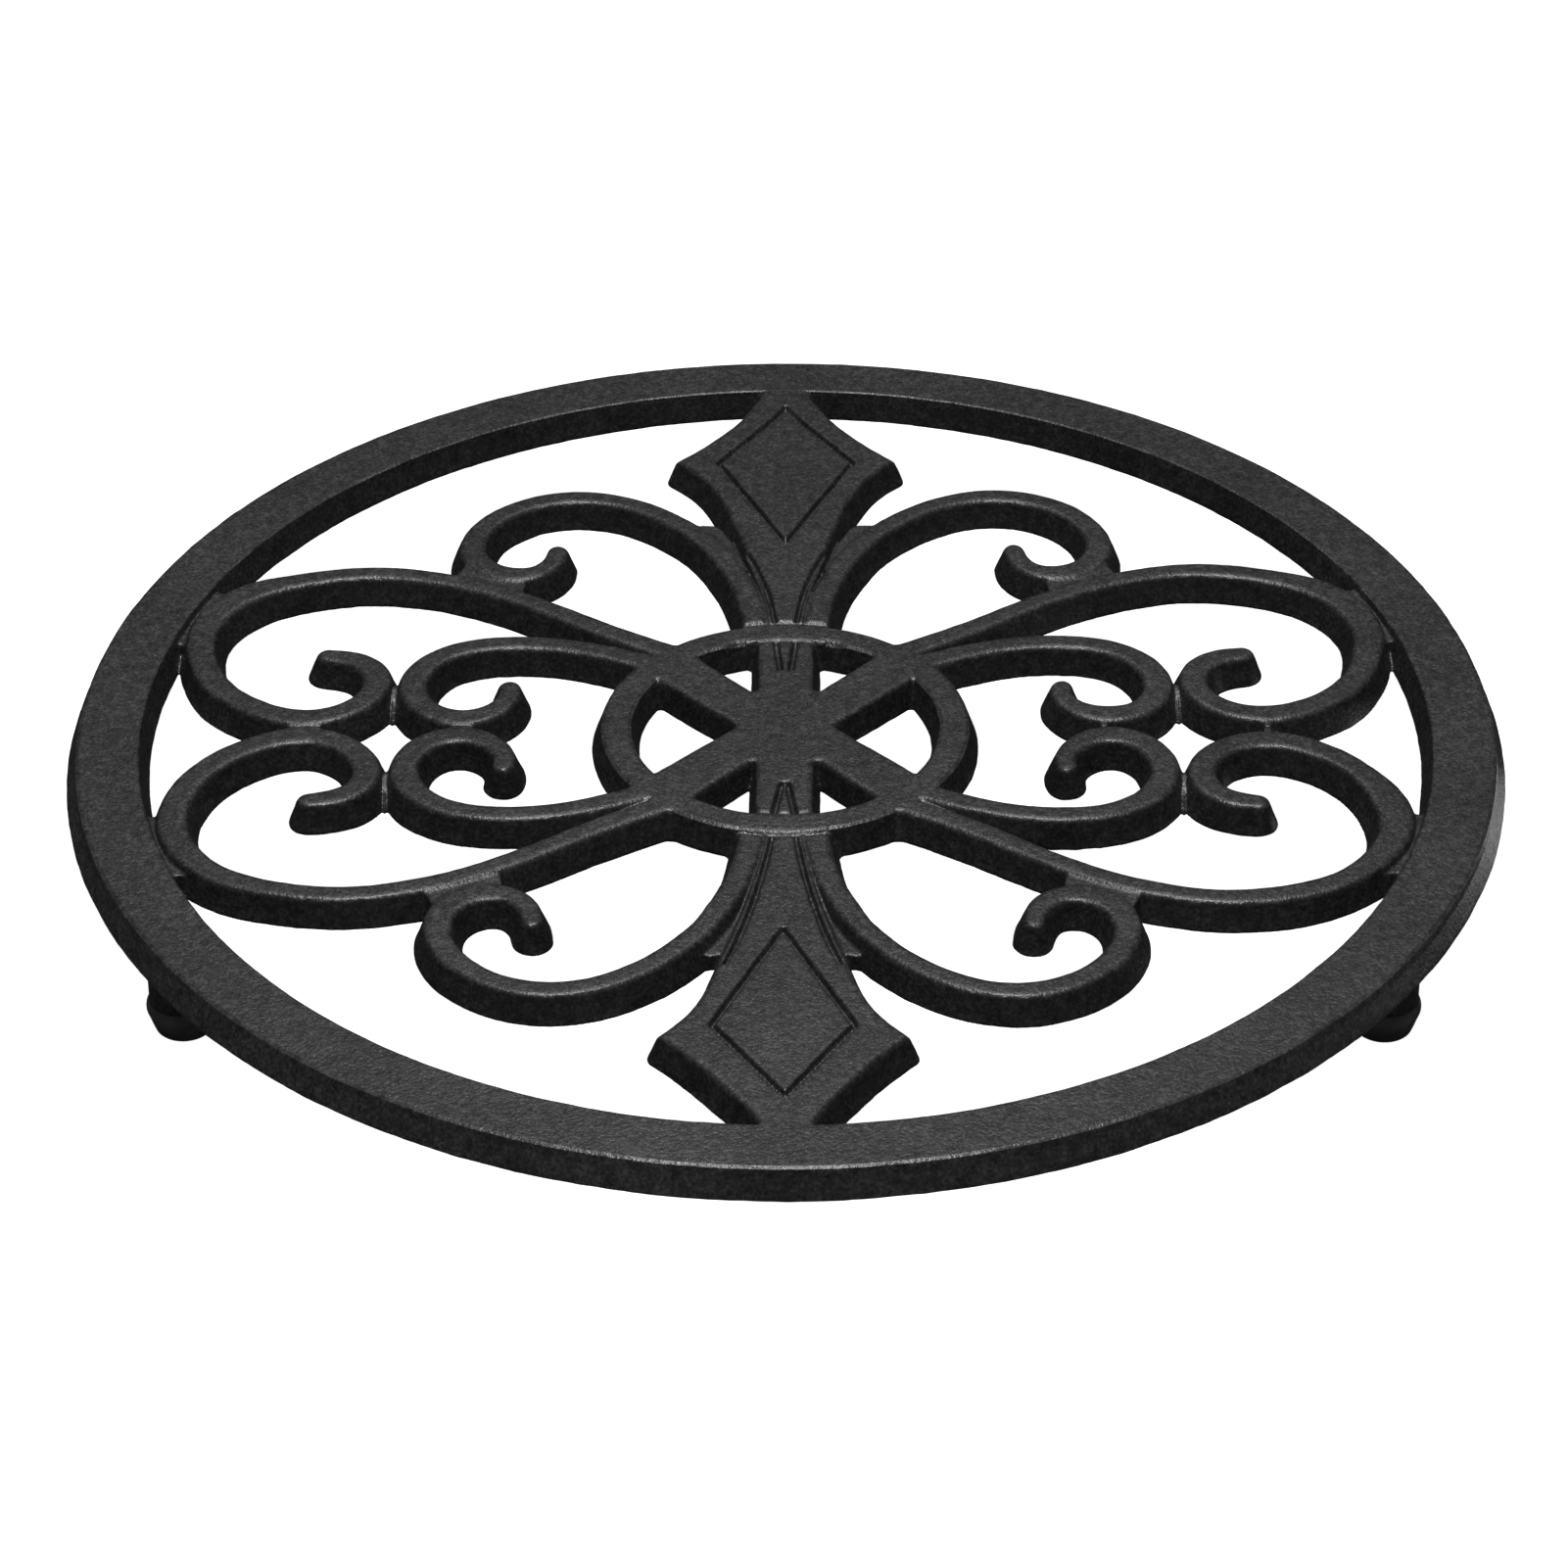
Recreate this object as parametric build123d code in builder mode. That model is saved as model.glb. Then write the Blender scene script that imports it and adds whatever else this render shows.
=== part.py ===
from build123d import *
import os

# Round cast-iron trivet. Millimetres, +Z up, origin on the table under the centre of the ring.
# -Y is the front, -X is the left. All members share one flat top; the scrollwork inside the outer
# ring is about as thick as the ring.

# ---- driving dimensions -------------------------------------------------------------------
HEIGHT = 16.0          # table to the top of the frame
RING_THICK = 4.3       # thickness of the outer ring
THICK = 4.2            # thickness of the scrollwork inside it
EDGE = 0.4             # rounding of every top edge
FOOT_EDGE = 0.35       # rounding of every bottom edge
DRAFT = 1.2            # how far a wall leans out from its top edge to its foot
WEB_DEPTH = 1.3        # how far the webs between members lie below the top

RING_OUT_TOP, RING_OUT_BOT = 97.4, 99.1      # outer ring, outside radius at top and bottom
RING_IN_TOP, RING_IN_BOT = 89.3, 87.8        # outer ring, inside radius at top and bottom
HUB_OUT_TOP, HUB_OUT_BOT = 25.3, 26.8        # hub ring, outside radius at top and bottom
HUB_IN_TOP, HUB_IN_BOT = 21.3, 20.0          # hub ring, inside radius at top and bottom

STEM_HALF = 3.8                              # half width of the two stems in the hub cross
SPOKE_IN = (3.8, 7.5)                        # sharp corner between a stem and a spoke
SPOKE_LOW = (14.6, 19.5)                     # spoke corner in the hub ring, stem side
SPOKE_UP = (19.2, 13.0)                      # spoke corner in the hub ring, side window side
SIDE_APEX = 6.5                              # sharp corner between two spokes, on the X axis

LEG_R_TOP, LEG_R_BOT = 4.4, 4.45             # cast leg, radius at the ring and at the cap
LEG_PITCH_R = 92.2                           # radius of the circle that the legs stand on
LEG_ANGLES = {"left": 211, "right": 329, "rear": 90}
CAP_TOP = 4.9                                # top of the soft cap above the table
CAP_R, CAP_WIDEST, CAP_SOLE_R = 4.9, 3.5, 3.6  # soft cap: greatest radius, its height, sole radius
SPIGOT_R, SPIGOT_TIP = 2.0, 1.9              # leg spigot: radius, and its tip above the table

TOP = HEIGHT
UNDER = HEIGHT - THICK
RING_UNDER = HEIGHT - RING_THICK

# Centrelines of the scrolls in the rear right quarter: x, y, half width at the top edge.
LARGE = [(14.9, 17.9, 1.75), (17.25, 19.2, 1.75), (21.6, 21.75, 1.7), (26.1, 24.6, 1.65), (30.95, 28.0, 1.6),
         (35.95, 31.4, 1.55), (41.0, 34.35, 1.55), (46.05, 36.7, 1.55), (51.05, 38.3, 1.55), (56.0, 39.3, 1.55),
         (61.0, 39.4, 1.55), (66.0, 38.65, 1.6), (71.0, 37.15, 1.75), (75.55, 34.85, 1.95), (79.4, 31.0, 2.05),
         (81.75, 26.45, 2.1), (82.45, 21.5, 2.05), (81.7, 16.6, 2.0), (79.85, 12.0, 1.9), (76.85, 7.8, 1.85),
         (72.6, 4.35, 1.85), (67.95, 2.4, 1.9), (63.4, 2.75, 1.85), (59.7, 5.1, 1.8), (57.3, 8.85, 1.8),
         (57.1, 12.6, 1.8), (58.9, 15.8, 1.75), (61.65, 17.3, 1.65), (64.2, 17.85, 1.5)]
INNER = [(17.0, 14.75, 1.75), (20.6, 16.5, 1.75), (25.05, 18.4, 1.7), (30.05, 20.0, 1.6), (35.0, 20.85, 1.6),
         (39.95, 20.85, 1.6), (44.35, 19.95, 1.65), (48.25, 17.75, 1.75), (50.9, 14.35, 1.85), (51.95, 10.3, 1.85),
         (50.95, 6.25, 1.85), (48.05, 3.05, 1.85), (44.5, 2.1, 1.85), (41.35, 3.2, 1.7), (39.05, 5.75, 1.5),
         (38.35, 8.1, 1.4), (38.5, 9.7, 1.3)]
SIDE = [(4.1, 22.8, 1.7), (4.4, 26.5, 1.65), (5.0, 31.0, 1.65), (6.2, 36.0, 1.6), (8.0, 41.0, 1.6),
        (10.4, 46.05, 1.55), (13.5, 50.5, 1.55), (17.4, 54.5, 1.55), (22.0, 57.7, 1.55), (27.1, 59.6, 1.55),
        (31.9, 59.85, 1.6), (36.7, 58.5, 1.6), (40.75, 55.75, 1.65), (43.6, 52.2, 1.7), (45.15, 48.0, 1.75),
        (44.9, 43.8, 1.85), (42.75, 40.6, 1.85), (39.3, 39.05, 1.75), (35.75, 39.75, 1.6), (33.55, 42.55, 1.45),
        (32.95, 45.2, 1.3)]

# Right half of the rear spear: flank from the hub ring to the barb, then the hollow back edge
# from the barb to the outer ring.
FLANK = [(2.4, 23.0), (2.6, 27.0), (3.1, 31.0), (3.8, 35.5), (4.65, 40.0), (5.7, 45.0), (7.0, 50.0),
         (8.3, 55.0), (9.8, 60.0), (11.65, 64.2), (13.8, 67.3), (16.0, 69.8)]
BACK = [(16.0, 69.8), (13.2, 72.8), (10.6, 76.0), (8.2, 79.3), (6.5, 82.0), (5.35, 84.1), (4.3, 86.2),
        (3.4, 88.6), (3.1, 91.0)]
DIAMOND = [(0, 47.1), (9.5, 68.3), (0, 83.3), (-9.5, 68.3)]
BORDER = [(1.75, 26.4), (2.2, 31.0), (2.9, 35.5), (3.7, 40.0), (4.8, 45.0), (6.05, 50.0), (6.95, 53.4)]

# Webs that close the foot of the grooves between touching members (plan outlines).
WEB_LARGE_RING = [(77.0, 33.9), (79.4, 31.0), (81.75, 26.5), (82.45, 21.5), (82.6, 20.2), (85.8, 20.9),
                  (89.0, 20.6), (88.2, 27.0), (85.2, 33.2), (83.4, 35.6), (81.2, 35.0), (79.0, 34.8)]
WEB_LARGE_PAIR = [(63.4, 2.9), (65.2, 0.9), (65.5, -0.7), (68.7, -0.7), (69.1, 0.9), (71.2, 3.3), (67.5, 2.9)]
WEB_INNER_PAIR = [(41.8, 2.7), (43.1, 0.9), (43.3, -0.7), (46.1, -0.7), (46.4, 0.9), (47.9, 2.9), (44.6, 2.6)]
WEB_INNER_LARGE = [(51.6, 7.6), (53.6, 8.9), (55.2, 8.8), (57.2, 9.2), (57.2, 12.4), (55.4, 12.4), (53.7, 12.3),
                   (51.3, 13.3)]
WEB_INNER_FORK = [(18.0, 15.2), (20.6, 16.5), (25.05, 18.45), (28.2, 19.5), (27.5, 21.7), (26.2, 24.4),
                  (21.6, 21.75), (17.25, 19.2), (15.6, 17.2)]
WEB_SIDE_SPEAR = [(4.7, 24.0), (5.25, 31.0), (6.3, 36.0), (8.0, 41.0), (10.3, 46.05), (11.7, 48.4), (9.7, 49.6),
                  (7.7, 50.6), (5.4, 50.0), (3.0, 42.0), (1.5, 34.0), (1.0, 24.0)]
WEB_SIDE_LARGE = [(45.0, 43.4), (42.65, 40.8), (39.3, 39.35), (36.0, 40.1), (35.2, 38.4), (36.4, 36.6),
                  (37.0, 32.2), (45.0, 36.2), (46.4, 38.9), (46.2, 41.3)]

# Section of every bar: height, and how far its outline stands outside the stated half width.
LEVELS = [(UNDER, DRAFT - FOOT_EDGE), (UNDER + FOOT_EDGE, DRAFT), (TOP - EDGE, 0.0),
          (TOP - 0.29 * EDGE, -0.29 * EDGE), (TOP, -EDGE)]


def width_at(points, lengths, s):
    """Half width at arc length s, taken in a straight line between the stated points."""
    for k in range(len(points) - 1):
        if s <= lengths[k + 1] or k == len(points) - 2:
            f = (s - lengths[k]) / (lengths[k + 1] - lengths[k])
            return points[k][2] + f * (points[k + 1][2] - points[k][2])


def bar_sides(points, count):
    """Points, normals and half widths along a scroll's centreline."""
    with BuildLine() as centre:
        Spline(*[(x, y) for x, y, w in points])
    path = centre.edges()[0]
    lengths = [0.0]
    for a, b in zip(points, points[1:]):
        lengths.append(lengths[-1] + ((b[0] - a[0]) ** 2 + (b[1] - a[1]) ** 2) ** 0.5)
    rows = []
    for k in range(count + 1):
        u = k / count
        p, t = path @ u, path % u
        rows.append((p.X, p.Y, -t.Y, t.X, width_at(points, lengths, u * lengths[-1])))
    return rows


def web(outline):
    """Low web between two members, from the underside to below the top."""
    with BuildSketch(Plane.XY.offset(UNDER)) as plan:
        with BuildLine():
            Polyline(*outline, close=True)
        make_face()
    extrude(plan.sketch, amount=THICK - WEB_DEPTH)


def scroll_bar(points, count):
    """Lofted bar along a scroll: drafted walls, rounded top edges, a rounded free end."""
    rows = bar_sides(points, count)
    x, y, nx, ny, w = rows[-1]
    sections = []
    for z, grow in LEVELS:
        left = [(a + c * (h + grow), b + d * (h + grow)) for a, b, c, d, h in rows]
        right = [(a - c * (h + grow), b - d * (h + grow)) for a, b, c, d, h in rows]
        with BuildSketch(Plane.XY.offset(z)) as level:
            with BuildLine():
                Spline(*left)
                ThreePointArc(left[-1], (x + ny * (w + grow), y - nx * (w + grow)), right[-1])
                Spline(*reversed(right))
                Line(right[0], left[0])
            make_face()
        sections.append(level.sketch)
    loft(sections, ruled=True)


def moved_out(points, grow, ends):
    """Outline points moved out along their normals; ends gives the normals at both ends."""
    out = []
    for k, (x, y) in enumerate(points):
        if k == 0 or k == len(points) - 1:
            nx, ny = ends[0] if k == 0 else ends[1]
        else:
            dx, dy = points[k + 1][0] - points[k - 1][0], points[k + 1][1] - points[k - 1][1]
            length = (dx * dx + dy * dy) ** 0.5
            nx, ny = dy / length, -dx / length
        out.append((x + nx * grow, y + ny * grow))
    return out


def groove_ring(inside, bottom, outside, depth):
    """V-shaped groove cut in the top along a circle about the centre, between two radii."""
    with BuildSketch(Plane.XZ) as section:
        with BuildLine():
            Polyline((inside, TOP + 0.05), (outside, TOP + 0.05), (outside, TOP), (bottom, TOP - depth),
                     (inside, TOP), close=True)
        make_face()
    revolve(section.sketch, axis=Axis.Z, mode=Mode.SUBTRACT)


def ring_section(out_top, out_bot, in_top, in_bot, under):
    """Drafted ring with rounded edges, turned about the centre."""
    with BuildSketch(Plane.XZ) as section:
        with BuildLine():
            Polyline((in_bot, under), (out_bot, under), (out_top, TOP), (in_top, TOP), close=True)
        make_face()
        fillet(section.vertices().group_by(Axis.Y)[-1], EDGE)
        fillet(section.vertices().group_by(Axis.Y)[0], FOOT_EDGE)
    revolve(section.sketch, axis=Axis.Z)


# ---- rings --------------------------------------------------------------------------------
with BuildPart() as outer_ring:
    ring_section(RING_OUT_TOP, RING_OUT_BOT, RING_IN_TOP, RING_IN_BOT, RING_UNDER)

# clear space under the outer ring, which keeps its rounded lower edge free of the scrollwork
with BuildPart() as under_ring:
    with BuildSketch(Plane.XY.offset(UNDER - 1.0)):
        Circle(RING_OUT_BOT)
        Circle(RING_IN_BOT, mode=Mode.SUBTRACT)
    extrude(amount=RING_UNDER - UNDER + 1.0 + FOOT_EDGE)

with BuildPart() as hub_ring:
    ring_section(HUB_OUT_TOP, HUB_OUT_BOT, HUB_IN_TOP, HUB_IN_BOT, UNDER)

# ---- hub cross: a disc with two side windows and four small windows, all drafted ----------
sx, sy = SPOKE_IN
WINDOWS = []
for fx in (1, -1):
    WINDOWS.append(([(fx * SIDE_APEX, 0), (fx * SPOKE_UP[0], SPOKE_UP[1]), (fx * 26.0, SPOKE_UP[1]),
                     (fx * 26.0, -SPOKE_UP[1]), (fx * SPOKE_UP[0], -SPOKE_UP[1])], 0.6, (fx * SIDE_APEX, 0)))
    for fy in (1, -1):
        WINDOWS.append(([(fx * STEM_HALF, fy * sy), (fx * SPOKE_LOW[0], fy * SPOKE_LOW[1]),
                         (fx * SPOKE_LOW[0], fy * 26.0), (fx * STEM_HALF, fy * 26.0)], 0.9, (fx * STEM_HALF, fy * sy)))

with BuildPart() as hub_cross:
    with BuildSketch(Plane.XY.offset(UNDER)):
        Circle(22.6)
    extrude(amount=THICK)
    for outline, radius, corner in WINDOWS:
        # the wall, then the steeper slope along its top edge; they cross one edge depth below the top
        for grow, depth, lean in ((0.287 * EDGE, THICK + 0.1, 16), (0.839 * EDGE, 2 * EDGE, 40)):
            with BuildSketch(Plane.XY.offset(TOP)) as window:
                with BuildLine():
                    Polyline(*outline, close=True)
                make_face()
                near = window.vertices().sort_by_distance((corner[0], corner[1], TOP))[0]
                fillet(near, radius)
                offset(amount=grow, kind=Kind.INTERSECTION, mode=Mode.REPLACE)
            extrude(amount=-depth, taper=lean, mode=Mode.SUBTRACT)
    # engraved double line on each stem
    with BuildSketch(Plane.XY.offset(TOP)) as lines:
        for fx in (1, -1):
            for fy in (1, -1):
                with BuildLine():
                    Polyline((fx * 0.3, fy * 13.6), (fx * 0.9, fy * 13.6), (fx * 1.8, fy * 20.6),
                             (fx * 1.2, fy * 20.6), close=True)
                make_face()
    extrude(amount=-0.5, mode=Mode.SUBTRACT)
    add(hub_ring.part, mode=Mode.SUBTRACT)

# ---- spears -------------------------------------------------------------------------------
with BuildPart() as spear_rear:
    for z, grow in LEVELS:
        flank = moved_out(FLANK, grow, ((1.0, 0.0), (1.55, 0.1)))
        back = moved_out(BACK, grow, ((1.55, 0.1), (1.0, 0.0)))
        mirror_flank = [(-a, b) for a, b in flank]
        mirror_back = [(-a, b) for a, b in back]
        with BuildSketch(Plane.XY.offset(z)):
            with BuildLine():
                Spline(*flank)
                Spline(*back)
                Line(back[-1], mirror_back[-1])
                Spline(*reversed(mirror_back))
                Spline(*reversed(mirror_flank))
                Line(mirror_flank[0], flank[0])
            make_face()
    loft(ruled=True)
    # engraved diamond line
    with BuildSketch(Plane.XY.offset(TOP)) as engraving:
        with BuildLine():
            Polyline(*DIAMOND, close=True)
        make_face()
        offset(amount=-0.28, kind=Kind.INTERSECTION, mode=Mode.REPLACE)
        inner_diamond = engraving.faces()[0]
    with BuildSketch(Plane.XY.offset(TOP)) as engraving_line:
        with BuildLine():
            Polyline(*DIAMOND, close=True)
        make_face()
        offset(amount=0.28, kind=Kind.INTERSECTION, mode=Mode.REPLACE)
        add(inner_diamond, mode=Mode.SUBTRACT)
    extrude(engraving_line.sketch, amount=-0.5, mode=Mode.SUBTRACT)
    # engraved line inside each flank
    with BuildSketch(Plane.XY.offset(TOP)) as border_line:
        for fx in (1, -1):
            with BuildLine():
                Polyline(*[(fx * (a - 0.25), b) for a, b in BORDER], *[(fx * (a + 0.25), b) for a, b in reversed(BORDER)],
                         close=True)
            make_face()
    extrude(border_line.sketch, amount=-0.5, mode=Mode.SUBTRACT)
    add(outer_ring.part, mode=Mode.SUBTRACT)
    add(under_ring.part, mode=Mode.SUBTRACT)
    add(hub_ring.part, mode=Mode.SUBTRACT)
    groove_ring(HUB_OUT_TOP - 0.7, HUB_OUT_TOP + 0.2, HUB_OUT_TOP + 0.8, 0.6)

with BuildPart() as spear_front:
    mirror(spear_rear.part, about=Plane.XZ)

# ---- large scrolls ------------------------------------------------------------------------
with BuildPart() as large_scroll_rear_right:
    scroll_bar(LARGE, 60)
    web(WEB_LARGE_RING)
    web(WEB_LARGE_PAIR)
    split(bisect_by=Plane.XZ, keep=Keep.BOTTOM)
    add(outer_ring.part, mode=Mode.SUBTRACT)
    add(under_ring.part, mode=Mode.SUBTRACT)
    add(hub_ring.part, mode=Mode.SUBTRACT)

# ---- inner scrolls ------------------------------------------------------------------------
with BuildPart() as inner_scroll_rear_right:
    scroll_bar(INNER, 44)
    web(WEB_INNER_PAIR)
    web(WEB_INNER_LARGE)
    web(WEB_INNER_FORK)
    split(bisect_by=Plane.XZ, keep=Keep.BOTTOM)
    add(hub_ring.part, mode=Mode.SUBTRACT)
    add(large_scroll_rear_right.part, mode=Mode.SUBTRACT)

# ---- side scrolls -------------------------------------------------------------------------
with BuildPart() as side_scroll_rear_right:
    scroll_bar(SIDE, 50)
    web(WEB_SIDE_SPEAR)
    web(WEB_SIDE_LARGE)
    add(hub_ring.part, mode=Mode.SUBTRACT)
    add(spear_rear.part, mode=Mode.SUBTRACT)
    add(large_scroll_rear_right.part, mode=Mode.SUBTRACT)
    groove_ring(HUB_OUT_TOP - 0.7, HUB_OUT_TOP + 0.2, HUB_OUT_TOP + 0.8, 0.6)

# the other three quarters are mirror images
with BuildPart() as large_scroll_rear_left:
    mirror(large_scroll_rear_right.part, about=Plane.YZ)
with BuildPart() as large_scroll_front_right:
    mirror(large_scroll_rear_right.part, about=Plane.XZ)
with BuildPart() as large_scroll_front_left:
    mirror(large_scroll_front_right.part, about=Plane.YZ)

with BuildPart() as inner_scroll_rear_left:
    mirror(inner_scroll_rear_right.part, about=Plane.YZ)
with BuildPart() as inner_scroll_front_right:
    mirror(inner_scroll_rear_right.part, about=Plane.XZ)
with BuildPart() as inner_scroll_front_left:
    mirror(inner_scroll_front_right.part, about=Plane.YZ)

with BuildPart() as side_scroll_rear_left:
    mirror(side_scroll_rear_right.part, about=Plane.YZ)
with BuildPart() as side_scroll_front_right:
    mirror(side_scroll_rear_right.part, about=Plane.XZ)
with BuildPart() as side_scroll_front_left:
    mirror(side_scroll_front_right.part, about=Plane.YZ)

# ---- legs and their soft caps -------------------------------------------------------------
with BuildPart() as leg_shape:
    with BuildSketch(Plane.XZ):
        with BuildLine():
            Polyline((0, SPIGOT_TIP), (SPIGOT_R - 0.4, SPIGOT_TIP), (SPIGOT_R, SPIGOT_TIP + 0.4),
                     (SPIGOT_R, CAP_TOP), (LEG_R_BOT - 0.3, CAP_TOP), (LEG_R_BOT, CAP_TOP + 0.3),
                     (LEG_R_TOP, RING_UNDER), (0, RING_UNDER), close=True)
        make_face()
    revolve(axis=Axis.Z)

with BuildPart() as cap_shape:
    with BuildSketch(Plane.XZ) as profile:
        with BuildLine():
            Polyline((SPIGOT_R, CAP_TOP), (CAP_R - 0.3, CAP_TOP), (CAP_R, CAP_WIDEST), (CAP_SOLE_R, 0),
                     (0, 0), (0, SPIGOT_TIP), (SPIGOT_R - 0.4, SPIGOT_TIP), (SPIGOT_R, SPIGOT_TIP + 0.4),
                     close=True)
        make_face()
        fillet(profile.vertices().sort_by(Axis.X)[-2:], 0.5)
        fillet(profile.vertices().group_by(Axis.Y)[0].sort_by(Axis.X)[-1], 0.6)
    revolve(axis=Axis.Z)

legs, caps = {}, {}
for place, angle in LEG_ANGLES.items():
    at = Vector(LEG_PITCH_R, 0, 0).rotate(Axis.Z, angle)
    with BuildPart() as leg:
        with Locations((at.X, at.Y, 0)):
            add(leg_shape.part)
    with BuildPart() as cap:
        with Locations((at.X, at.Y, 0)):
            add(cap_shape.part)
    legs[place], caps[place] = leg, cap

# ---- write every piece --------------------------------------------------------------------
os.makedirs("parts", exist_ok=True)
pieces = {
    "outer_ring": outer_ring, "hub_ring": hub_ring, "hub_cross": hub_cross,
    "spear_front": spear_front, "spear_rear": spear_rear,
    "large_scroll_front_left": large_scroll_front_left, "large_scroll_front_right": large_scroll_front_right,
    "large_scroll_rear_left": large_scroll_rear_left, "large_scroll_rear_right": large_scroll_rear_right,
    "inner_scroll_front_left": inner_scroll_front_left, "inner_scroll_front_right": inner_scroll_front_right,
    "inner_scroll_rear_left": inner_scroll_rear_left, "inner_scroll_rear_right": inner_scroll_rear_right,
    "side_scroll_front_left": side_scroll_front_left, "side_scroll_front_right": side_scroll_front_right,
    "side_scroll_rear_left": side_scroll_rear_left, "side_scroll_rear_right": side_scroll_rear_right,
}
for place in LEG_ANGLES:
    pieces["leg_" + place] = legs[place]
    pieces["rubber_foot_" + place] = caps[place]
for name, piece in pieces.items():
    piece.part.label = name
    export_step(piece.part, "parts/" + name + ".step")
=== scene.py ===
import math
import bpy
import numpy as np
from mathutils import Matrix, Vector


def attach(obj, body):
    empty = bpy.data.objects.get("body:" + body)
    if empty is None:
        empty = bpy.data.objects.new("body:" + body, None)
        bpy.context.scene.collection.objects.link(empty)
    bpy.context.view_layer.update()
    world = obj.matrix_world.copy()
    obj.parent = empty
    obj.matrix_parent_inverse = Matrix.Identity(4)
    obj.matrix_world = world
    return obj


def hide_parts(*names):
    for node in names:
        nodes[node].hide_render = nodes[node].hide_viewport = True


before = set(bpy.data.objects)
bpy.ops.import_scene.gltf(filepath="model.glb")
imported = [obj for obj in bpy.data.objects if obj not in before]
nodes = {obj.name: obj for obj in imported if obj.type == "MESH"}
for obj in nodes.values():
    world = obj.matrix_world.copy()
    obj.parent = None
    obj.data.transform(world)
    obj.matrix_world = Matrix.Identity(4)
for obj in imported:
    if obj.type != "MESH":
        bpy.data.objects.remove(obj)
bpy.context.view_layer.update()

# ---------------------------------------------------------------- sizes of the casting, in millimetres
TOP = 16.0             # flat top of every member
UNDER = 11.7           # underside of the outer ring
DEEP = 11.8            # underside of the scrollwork
EDGE, FOOT = 0.3, 0.35  # rounding of the top and bottom edges
BEVEL, SLOPE = 0.2, math.radians(27)  # worn slope along the top edges: how much of the corner it takes, and its fall
LEAN = 0.385           # how far a wall leans out for each millimetre down
FILLET = 0.7           # hollow radius where two members meet
CREASE = 0.35          # the same in the narrow valleys between touching scrolls

RING = (97.6, 0.395, 89.05, 0.349)     # outer ring: outside radius and lean, inside radius and lean
HUB = (25.35, 0.362, 21.35, 0.319)     # hub ring

LARGE = [(14.9, 17.9, 1.75), (17.25, 19.2, 1.75), (21.6, 21.75, 1.7), (26.1, 24.6, 1.65), (30.95, 28.0, 1.6),
         (35.95, 31.4, 1.55), (41.0, 34.35, 1.55), (46.05, 36.7, 1.55), (51.05, 38.3, 1.55), (56.0, 39.3, 1.55),
         (61.0, 39.4, 1.55), (66.0, 38.65, 1.6), (71.0, 37.15, 1.75), (75.55, 34.85, 1.95), (79.4, 31.0, 2.05),
         (81.75, 26.45, 2.1), (82.45, 21.5, 2.05), (81.7, 16.6, 2.0), (79.85, 12.0, 1.9), (76.85, 7.8, 1.85),
         (72.6, 4.35, 1.85), (67.95, 2.4, 1.9), (63.4, 2.75, 1.85), (59.7, 5.1, 1.8), (57.3, 8.85, 1.8),
         (57.1, 12.6, 1.8), (58.9, 15.8, 1.75), (61.65, 17.3, 1.65), (64.2, 17.85, 1.5)]
INNER = [(17.0, 14.75, 1.75), (20.6, 16.5, 1.75), (25.05, 18.4, 1.7), (30.05, 20.0, 1.6), (35.0, 20.85, 1.6),
         (39.95, 20.85, 1.6), (44.35, 19.95, 1.65), (48.25, 17.75, 1.75), (50.9, 14.35, 1.85), (51.95, 10.3, 1.85),
         (50.95, 6.25, 1.85), (48.05, 3.05, 1.85), (44.5, 2.1, 1.85), (41.35, 3.2, 1.7), (39.05, 5.75, 1.5),
         (38.35, 8.1, 1.4), (38.5, 9.7, 1.3)]
# On the right the facing curls stand a little further apart: how far the lower points of a curl are raised.
LARGE_RAISE = {(76.85, 7.8): 0.3, (72.6, 4.35): 0.6, (67.95, 2.4): 0.85, (63.4, 2.75): 0.8, (59.7, 5.1): 0.45, (57.3, 8.85): 0.2}
INNER_RAISE = {(50.95, 6.25): 0.2, (48.05, 3.05): 0.6, (44.5, 2.1): 0.85, (41.35, 3.2): 0.65, (39.05, 5.75): 0.4}
SIDE = [(4.1, 22.8, 1.7), (4.4, 26.5, 1.65), (5.0, 31.0, 1.65), (6.2, 36.0, 1.6), (8.0, 41.0, 1.6),
        (10.4, 46.05, 1.55), (13.5, 50.5, 1.55), (17.4, 54.5, 1.55), (22.0, 57.7, 1.55), (27.1, 59.6, 1.55),
        (31.9, 59.85, 1.6), (36.7, 58.5, 1.6), (40.75, 55.75, 1.65), (43.6, 52.2, 1.7), (45.15, 48.0, 1.75),
        (44.9, 43.8, 1.85), (42.75, 40.6, 1.85), (39.3, 39.05, 1.75), (35.75, 39.75, 1.6), (33.55, 42.55, 1.45),
        (32.95, 45.2, 1.3)]
FLANK_REAR = [(2.4, 23.0), (2.6, 27.0), (3.1, 31.0), (3.8, 35.5), (4.6, 40.0), (5.2, 43.0), (5.85, 46.0), (6.85, 50.0),
              (8.1, 55.0), (9.7, 60.0), (11.6, 64.2), (13.75, 67.3), (16.0, 69.8)]
FLANK_FRONT = [(2.4, 23.0), (2.6, 27.0), (3.1, 31.0), (3.85, 35.5), (4.7, 40.0), (5.85, 45.0), (7.15, 50.0),
               (8.45, 55.0), (9.9, 60.0), (11.7, 64.2), (13.8, 67.3), (16.0, 69.8)]
BACK = [(16.0, 69.8), (13.2, 72.8), (10.6, 76.0), (8.2, 79.3), (6.5, 82.0), (5.35, 84.1), (4.3, 86.2),
        (3.4, 88.6), (3.1, 91.5)]
DIAMOND_REAR = [(0, 47.1), (9.9, 69.2), (0, 84.6), (-9.9, 69.2)]
DIAMOND_FRONT = [(0, 47.1), (9.2, 67.4), (0, 81.8), (-9.2, 67.4)]
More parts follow.
